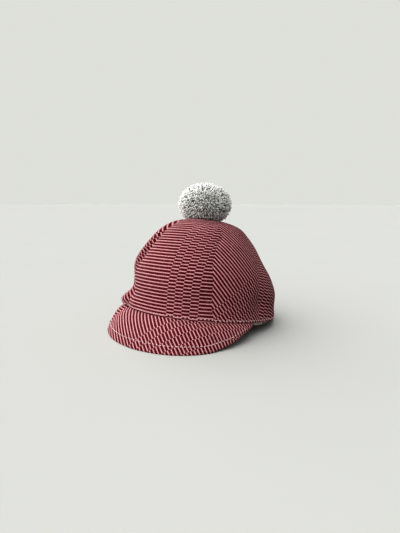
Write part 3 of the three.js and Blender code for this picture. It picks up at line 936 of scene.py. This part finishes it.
def weave_group():
    """Cloth in metres to a colour and a height; widths inside it are in millimetres."""
    group = bpy.data.node_groups.new("rib weave", "ShaderNodeTree")
    socket_in(group, "Cloth", (0, 0, 0), "NodeSocketVector")
    socket_in(group, "Cord", CORD / MM)
    socket_in(group, "Red", (0.2, 0.01, 0.02, 1), "NodeSocketColor")
    socket_in(group, "Pink", (0.8, 0.4, 0.4, 1), "NodeSocketColor")
    socket_in(group, "Wide", WIDE_BLOCK / MM)
    socket_in(group, "Narrow", NARROW_BLOCK / MM)
    socket_in(group, "Count", float(NARROW_COUNT))
    socket_in(group, "Red width", RED_WIDTH)
    socket_out(group, "Color", "NodeSocketColor")
    socket_out(group, "Height")
    socket_out(group, "Cord mask")
    w = Wiring(group)
    given = w.node("NodeGroupInput").outputs
    result = w.node("NodeGroupOutput").inputs
    cloth, along, across = w.parts(given["Cloth"], 1 / MM)
    wander = w.maths("SUBTRACT", w.noise(cloth, 0.05, 2.0), 0.5)
    across = w.maths("ADD", across, w.maths("MULTIPLY", wander, CORD_WANDER))
    steps = w.maths("DIVIDE", across, given["Cord"])
    # blocks: one wide block, then a group of narrow ones, over and over
    narrow_run = w.maths("MULTIPLY", given["Narrow"], given["Count"])
    repeat = w.maths("ADD", given["Wide"], narrow_run)
    place = w.maths("FLOORED_MODULO", along, repeat)
    past_wide = w.maths("SUBTRACT", place, given["Wide"])
    number = w.maths("ADD", w.maths("FLOOR", w.maths("DIVIDE", past_wide, given["Narrow"])), 1.0)
    number = w.maths("MAXIMUM", number, 0.0)
    turns = w.maths("FLOOR", w.maths("DIVIDE", along, repeat))
    flips = w.maths("ADD", number, w.maths("MULTIPLY", turns, w.maths("ADD", given["Count"], 1.0)))
    # a red and a pink cord make a pair, two steps wide; each flip moves the pair by one step
    moved = w.maths("ADD", steps, flips)
    in_pair = w.maths("FLOORED_MODULO", moved, 2.0)
    parity = w.maths("GREATER_THAN", in_pair, given["Red width"])
    pink_width = w.maths("SUBTRACT", 2.0, given["Red width"])
    in_red = w.maths("DIVIDE", in_pair, given["Red width"])
    in_pink = w.maths("DIVIDE", w.maths("SUBTRACT", in_pair, given["Red width"]), pink_width)
    in_cord = w.maths("ADD", w.maths("MULTIPLY", in_pink, parity),
                      w.maths("MULTIPLY", in_red, w.maths("SUBTRACT", 1.0, parity)))
    cord_number = w.maths("SUBTRACT", w.maths("ADD", w.maths("SUBTRACT", moved, in_pair), parity), flips)
    # yarn segments across the cord, each with its own lightness
    slope = w.maths("MULTIPLY", w.maths("SUBTRACT", in_cord, 0.5), WEFT_SLANT)
    yarn_steps = w.maths("DIVIDE", w.maths("ADD", along, slope), WEFT_WIDTH)
    in_yarn = w.maths("FRACT", yarn_steps)
    pair = w.node("ShaderNodeCombineXYZ")
    w.put(w.maths("FLOOR", yarn_steps), pair.inputs[0])
    w.put(cord_number, pair.inputs[1])
    grain = w.node("ShaderNodeTexWhiteNoise", noise_dimensions="2D")
    w.put(pair.outputs[0], grain.inputs["Vector"])
    round_cord = w.maths("SINE", w.maths("MULTIPLY", in_cord, math.pi))
    round_yarn = w.maths("SINE", w.maths("MULTIPLY", in_yarn, math.pi))
    # colours: the flat colour times the random grain tone, and painted shade in the groove between cords
    # and at the edges of each yarn segment
    plain = w.blend(parity, given["Red"], given["Pink"])
    stray = w.span(grain.outputs["Value"], 0.93, 0.95)
    plain = w.blend(w.maths("MULTIPLY", stray, STRAY_PINK), plain, given["Pink"])
    tone = w.maths("ADD", TONE_LOW, w.maths("MULTIPLY", grain.outputs["Value"], TONE_SPAN))
    groove_painted_shade = w.span(round_cord, 0.0, 0.72, GROOVE_SHADE, 1.0)
    between = w.span(round_yarn, 0.0, 0.7, BETWEEN_SHADE, 1.0)
    # the random grain tone times the painted shade of groove and yarn edges
    light = w.maths("MULTIPLY", w.maths("MULTIPLY", tone, groove_painted_shade), between)
    grain_and_shade_colour = w.node("ShaderNodeCombineColor")
    for socket in grain_and_shade_colour.inputs:
        w.put(light, socket)
    w.put(w.blend(1.0, plain, grain_and_shade_colour.outputs[0], "MULTIPLY"), result["Color"])
    height = w.maths("ADD", w.maths("MULTIPLY", round_yarn, 0.45), w.maths("MULTIPLY", round_cord, 0.3))
    height = w.maths("ADD", height, w.maths("MULTIPLY", grain.outputs["Value"], 0.18))
    w.put(height, result["Height"])
    w.put(parity, result["Cord mask"])
    return group


weave = weave_group()


# %% The cloth of the crown and the peak
CLOTH_RED = colour(84, 0, 13)
CLOTH_PINK = colour(214, 153, 157)
CLOTH_WORN = colour(188, 115, 118)
CLOTH_FINISH = {
    "Specular IOR Level": 0.06,
    "Sheen Weight": 0.06,
    "Sheen Roughness": 0.5,
    "Sheen Tint": (1.0, 0.72, 0.74, 1),
}


def cloth_material():
    """The weave, a little paler and rougher where it is worn; heavy cotton has hardly any gloss."""
    made, w, shader = start_material("ribbed cloth", CLOTH_FINISH)
    use = w.node("ShaderNodeGroup")
    use.node_tree = weave
    w.put(w.piece_map(), use.inputs["Cloth"])
    use.inputs["Red"].default_value = CLOTH_RED
    use.inputs["Pink"].default_value = CLOTH_PINK
    wear = w.noise(w.place(), 22, 3.0)
    fade = w.span(wear, 0.35, 0.7, 0.0, 0.03)
    w.put(w.blend(fade, use.outputs["Color"], CLOTH_WORN), shader.inputs["Base Color"])
    rough = w.maths("ADD", 0.80, w.maths("MULTIPLY", wear, 0.14))
    w.put(rough, shader.inputs["Roughness"])
    w.bump(use.outputs["Height"], 0.12 * MM, 0.8, shader)
    return made


cloth = cloth_material()
for piece in gores + [peak]:
    piece.data.materials.append(cloth)


# %% Cotton of the band
TWILL_WIDTH = 0.9


def band_material():
    """Twill: fine slanting ribs, and mottled like a cotton with slubs."""
    made, w, shader = start_material("off-white cotton", {"Specular IOR Level": 0.3})
    _, along, across = w.parts(w.piece_map(), 1 / MM)
    slant = w.maths("ADD", along, across)
    twill = w.maths("SINE", w.maths("MULTIPLY", slant, 2 * math.pi / TWILL_WIDTH))
    stain = w.noise(w.place(), 420, 3.0)
    base = w.blend(w.span(stain, 0.40, 0.60), colour(206, 200, 186), colour(128, 122, 110))
    threads = w.span(twill, -1.0, 1.0, 0.0, 0.10)
    w.put(w.blend(threads, base, colour(150, 140, 120)), shader.inputs["Base Color"])
    w.put(w.span(stain, 0.3, 0.8, 0.82, 0.94), shader.inputs["Roughness"])
    w.bump(twill, 0.1 * MM, 0.7, shader)
    return made


band.data.materials.append(band_material())


# %% Pale sewing thread
def thread_material():
    """Thread: fine light and dark flecks, as its twist shows."""
    made, w, shader = start_material("pale thread", {"Specular IOR Level": 0.2})
    twist = w.noise(w.place(), 1800, 2.0)
    w.put(w.blend(twist, colour(240, 214, 212), colour(214, 178, 178)), shader.inputs["Base Color"])
    w.put(w.span(twist, 0.3, 0.7, 0.7, 0.85), shader.inputs["Roughness"])
    return made


thread = thread_material()
for piece in stitches:
    piece.data.materials.append(thread)


# %% Wool of the pompom
WOOL_PALE = colour(224, 226, 219)
WOOL_MID = colour(216, 218, 211)
# the dark grey of a few whole yarns, and of the painted shade towards every yarn's root
DARK_YARN_AND_ROOT_SHADE = colour(96, 93, 86)
DARK_SHARE = 0.03
ROOT_SHADE = 0.32
WOOL_FINISH = {
    "Specular IOR Level": 0.2,
    "Sheen Weight": 0.4,
    "Sheen Roughness": 0.6,
    "Subsurface Weight": 1.0,
    "Subsurface Radius": (1.0, 1.0, 1.0),
    "Subsurface Scale": 8 * MM,
}


def wool_material():
    """The map holds (the yarn's own tone, share of its length): the ends are paler than the roots, where
    painted shade stands for the depth of the ball.
    """
    made, w, shader = start_material("wool ends", WOOL_FINISH)
    _, tone, length = w.parts(w.piece_map())
    fibres = w.noise(w.place(), 2600, 2.0, 0.7)
    base = w.blend(w.span(tone, DARK_SHARE, 1.0), WOOL_MID, WOOL_PALE)
    base = w.blend(w.span(tone, DARK_SHARE - 0.01, DARK_SHARE + 0.01), DARK_YARN_AND_ROOT_SHADE, base)
    # painted shade: each yarn darkens towards its root, deep inside the ball
    root = w.span(length, 0.2, 0.9, ROOT_SHADE, 0.0)
    base = w.blend(root, base, DARK_YARN_AND_ROOT_SHADE)
    base = w.blend(w.span(fibres, 0.35, 0.7, 0.0, 0.35), base, WOOL_PALE)
    w.put(base, shader.inputs["Base Color"])
    w.put(w.span(fibres, 0.2, 0.8, 0.85, 0.97), shader.inputs["Roughness"])
    w.bump(fibres, 0.15 * MM, 0.35, shader)
    return made


yarn.data.materials.append(wool_material())


# %% Wool of the core
def core_material():
    """Matted wool of two greys, raised by the same noise: the pale grey is the wool's own and the darker
    grey is painted shade for the depths between the yarn ends.
    """
    made, w, shader = start_material("wool core", {})
    tuft_and_gap_shade = w.noise(w.place(), 700, 3.0, 0.6)
    # the darker grey is painted shade deep between the yarn ends, the pale one the wool's own
    w.put(w.blend(w.span(tuft_and_gap_shade, 0.35, 0.65), colour(140, 137, 131), colour(218, 217, 211)),
          shader.inputs["Base Color"])
    w.put(w.span(tuft_and_gap_shade, 0.3, 0.7, 0.88, 0.98), shader.inputs["Roughness"])
    w.bump(tuft_and_gap_shade, 1.0 * MM, 1.0, shader)
    return made


core.data.materials.append(core_material())

# %% [markdown]
# ## Camera
#
# The camera looks down a little from the cap's left front, where a photographer would hold it. Its
# lens and its tilt could be set by eye. Here they follow from two lengths on the picture, in its
# pixels: the focal length, and how far the horizon lies above the picture's middle.

# %% Camera
CAMERA_AZIMUTH = math.radians(35)
CAMERA_AWAY = 525 * MM
CAMERA_HEIGHT = 160 * MM
CAMERA_LEFT = 4.5 * MM
FOCAL_PIXELS = 405.0
HORIZON_ABOVE_MIDDLE = 66.5
PICTURE_TALL = 533.0
SENSOR = 36

back = np.array([math.sin(CAMERA_AZIMUTH), -math.cos(CAMERA_AZIMUTH), 0.0])
right = np.array([math.cos(CAMERA_AZIMUTH), math.sin(CAMERA_AZIMUTH), 0.0])
pitch = math.atan(HORIZON_ABOVE_MIDDLE / FOCAL_PIXELS)
eye = back * CAMERA_AWAY - right * CAMERA_LEFT + np.array([0, 0, CAMERA_HEIGHT]) + SHIFT
look = -back * math.cos(pitch) - np.array([0, 0, math.sin(pitch)])
camera_data = bpy.data.cameras.new("camera")
camera_data.sensor_fit = "AUTO"
camera_data.sensor_width = SENSOR
camera_data.lens = SENSOR * FOCAL_PIXELS / PICTURE_TALL
camera_data.clip_start = 0.01
camera_data.clip_end = 100
camera = bpy.data.objects.new("camera", camera_data)
camera.location = eye
camera.rotation_euler = Vector(look).to_track_quat("-Z", "Y").to_euler()
bpy.context.scene.collection.objects.link(camera)
bpy.context.scene.camera = camera
print("camera at", np.round(eye, 3), "lens", round(camera_data.lens, 2))

# %% [markdown]
# ## Floor and light
#
# The cap stands on a plain pale floor in a pale room. One wide lamp from the upper left stands for a
# window and a weak one above for the ceiling, so the right side is in shade. A pale room would fill
# that shade with light. So the floor and the room look pale to the camera, but count as darker for
# every other ray, and the Medium High Contrast look deepens the darks once more.

# %% Floor
FLOOR = colour(185, 186, 183)
FLOOR_CLOUD = colour(184, 185, 182)
FLOOR_DIM = colour(122, 122, 121)
FLOOR_HALF = 14.0
FLOOR_BELOW = 0.3 * MM


def floor_material():
    """A matt surface with faint clouds, dimmer for every ray but the camera's."""
    made, w, shader = start_material("pale surface", {"Specular IOR Level": 0.0})
    cloud = w.noise(w.place(), 3, 2.0)
    seen = w.node("ShaderNodeLightPath").outputs["Is Camera Ray"]
    pale = w.blend(w.span(cloud, 0.3, 0.7), FLOOR, FLOOR_CLOUD)
    w.put(w.blend(seen, FLOOR_DIM, pale), shader.inputs["Base Color"])
    w.put(w.span(cloud, 0.3, 0.7, 0.85, 0.95), shader.inputs["Roughness"])
    return made


corners = FLOOR_HALF * np.array([(-1, -1, 0), (1, -1, 0), (1, 1, 0), (-1, 1, 0)])
floor = new_mesh("pale_floor", corners - np.array([0, 0, FLOOR_BELOW]), [np.array([[0, 1, 2, 3]])])
floor.data.materials.append(floor_material())

# %% Room and lamps
ROOM_SEEN = colour(207, 208, 203)
ROOM_LIGHT = (0.33, 0.335, 0.33, 1)


def room_world():
    """Pale to look at, but dimmer as a light, so that the sides away from the lamp fall into shade."""
    made = bpy.data.worlds.new("pale room")
    made.use_nodes = True
    w = Wiring(made.node_tree)
    seen = w.node("ShaderNodeLightPath").outputs["Is Camera Ray"]
    background = made.node_tree.nodes["Background"]
    w.put(w.blend(seen, ROOM_LIGHT, ROOM_SEEN), background.inputs["Color"])
    return made


def soft_sun(name, towards, spread, strength, tint):
    """A lamp that comes evenly from one direction, as wide as its spread in degrees."""
    data = bpy.data.lights.new(name, "SUN")
    data.angle = math.radians(spread)
    data.energy = strength
    data.color = tint
    made = bpy.data.objects.new(name, data)
    made.rotation_euler = Vector(towards).to_track_quat("Z", "Y").to_euler()
    bpy.context.scene.collection.objects.link(made)


bpy.context.scene.world = room_world()
bpy.context.scene.view_settings.view_transform = "Standard"
bpy.context.scene.view_settings.look = "Medium High Contrast"
window = -right * 0.84 + back * 0.02 + np.array([0, 0, 0.66])
soft_sun("window", window, 140, 4.5, (1.0, 0.993, 0.985))
soft_sun("ceiling", (0, 0, 1), 50, 0.1, (1.0, 1.0, 0.99))
